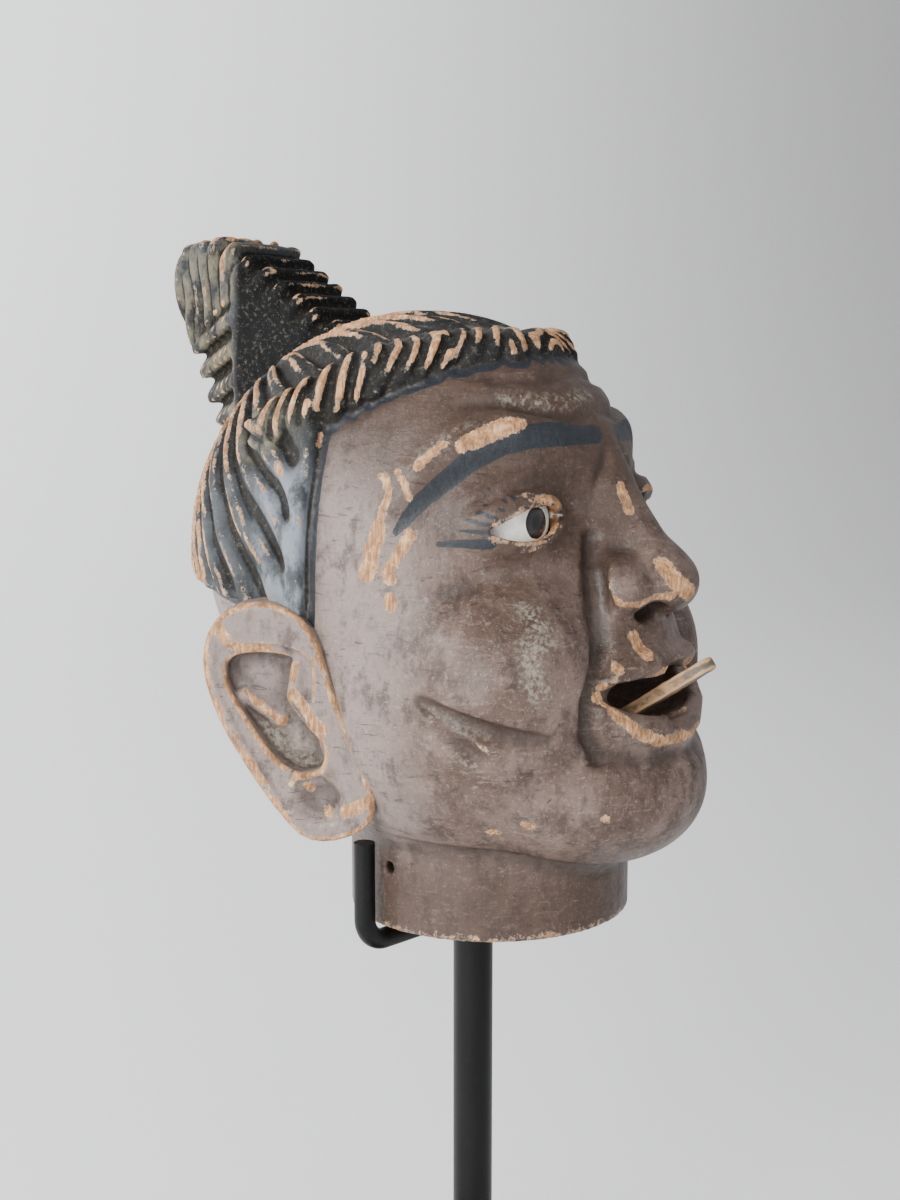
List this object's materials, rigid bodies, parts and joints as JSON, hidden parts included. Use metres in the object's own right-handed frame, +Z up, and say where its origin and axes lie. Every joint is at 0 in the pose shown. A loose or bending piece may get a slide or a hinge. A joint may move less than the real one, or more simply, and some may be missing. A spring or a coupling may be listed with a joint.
{
  "type": "puppet head on a stand",
  "caption": "Hollow carved wooden puppet head with turning eyes and a wagging tongue, lifted off a steel display stand.",
  "frame": {"origin": "centre of the base underside, on the axis of the stand's post", "axes": "+Z up along the post, -Y the way the puppet looks, +X its left side"},
  "size_m": [0.1032, 0.1229, 0.237],
  "materials": {
    "black_steel": "satin",
    "felt": "matt felt",
    "steel": "plain",
    "cap_rubber": "matt",
    "face_paint": "worn dark brown paint over carved wood",
    "hair_paint": "worn black paint over carved wood",
    "eye_enamel": "glossy white with a black iris",
    "bare_wood": "unpainted",
    "tongue_wood": "worn brown",
    "iron_wire": "dull"
  },
  "bodies": {
    "stand": {"base_plate": "black_steel", "base_felt": "felt", "base_screw": "steel", "post": "black_steel", "post_cap": "cap_rubber", "neck_hook": "black_steel"},
    "head": {"face_shell": "face_paint", "back_shell": "hair_paint", "right_ear": "face_paint", "left_ear": "face_paint", "topknot": "hair_paint", "right_eye_pin": "iron_wire", "left_eye_pin": "iron_wire", "tongue_pin": "iron_wire"},
    "eye_left": {"left_eye": "eye_enamel", "left_eye_crank": "bare_wood"},
    "eye_right": {"right_eye": "eye_enamel", "right_eye_crank": "bare_wood"},
    "eye_bar": {"eye_link": "bare_wood"},
    "tongue_body": {"tongue": "tongue_wood"}
  },
  "joints": [
    {"name": "head_lift", "type": "slide", "parent": "stand", "child": "head", "axis": [0, 0, 1], "range_m": [0, 0.11]},
    {"name": "eye_left_turn", "type": "hinge", "parent": "head", "child": "eye_left", "pos_m": [0.0205, -0.017, 0.183], "axis": [0, 0, 1], "range_deg": [-18, 18]},
    {"name": "eye_right_turn", "type": "hinge", "parent": "head", "child": "eye_right", "pos_m": [-0.0205, -0.017, 0.183], "axis": [0, 0, 1], "range_deg": [-18, 18]},
    {"name": "eye_link_turn", "type": "hinge", "parent": "eye_left", "child": "eye_bar", "pos_m": [0.0205, -0.009, 0.171], "axis": [0, 0, 1], "range_deg": [-18, 18]},
    {"name": "tongue_wag", "type": "hinge", "parent": "head", "child": "tongue_body", "pos_m": [0, -0.022, 0.1382], "axis": [-1, 0, 0], "range_deg": [-9, 4]}
  ],
  "couplings": [
    {"joint": "eye_right_turn", "follows": "eye_left_turn", "ratio": 1},
    {"joint": "eye_link_turn", "follows": "eye_left_turn", "ratio": -1}
  ]
}
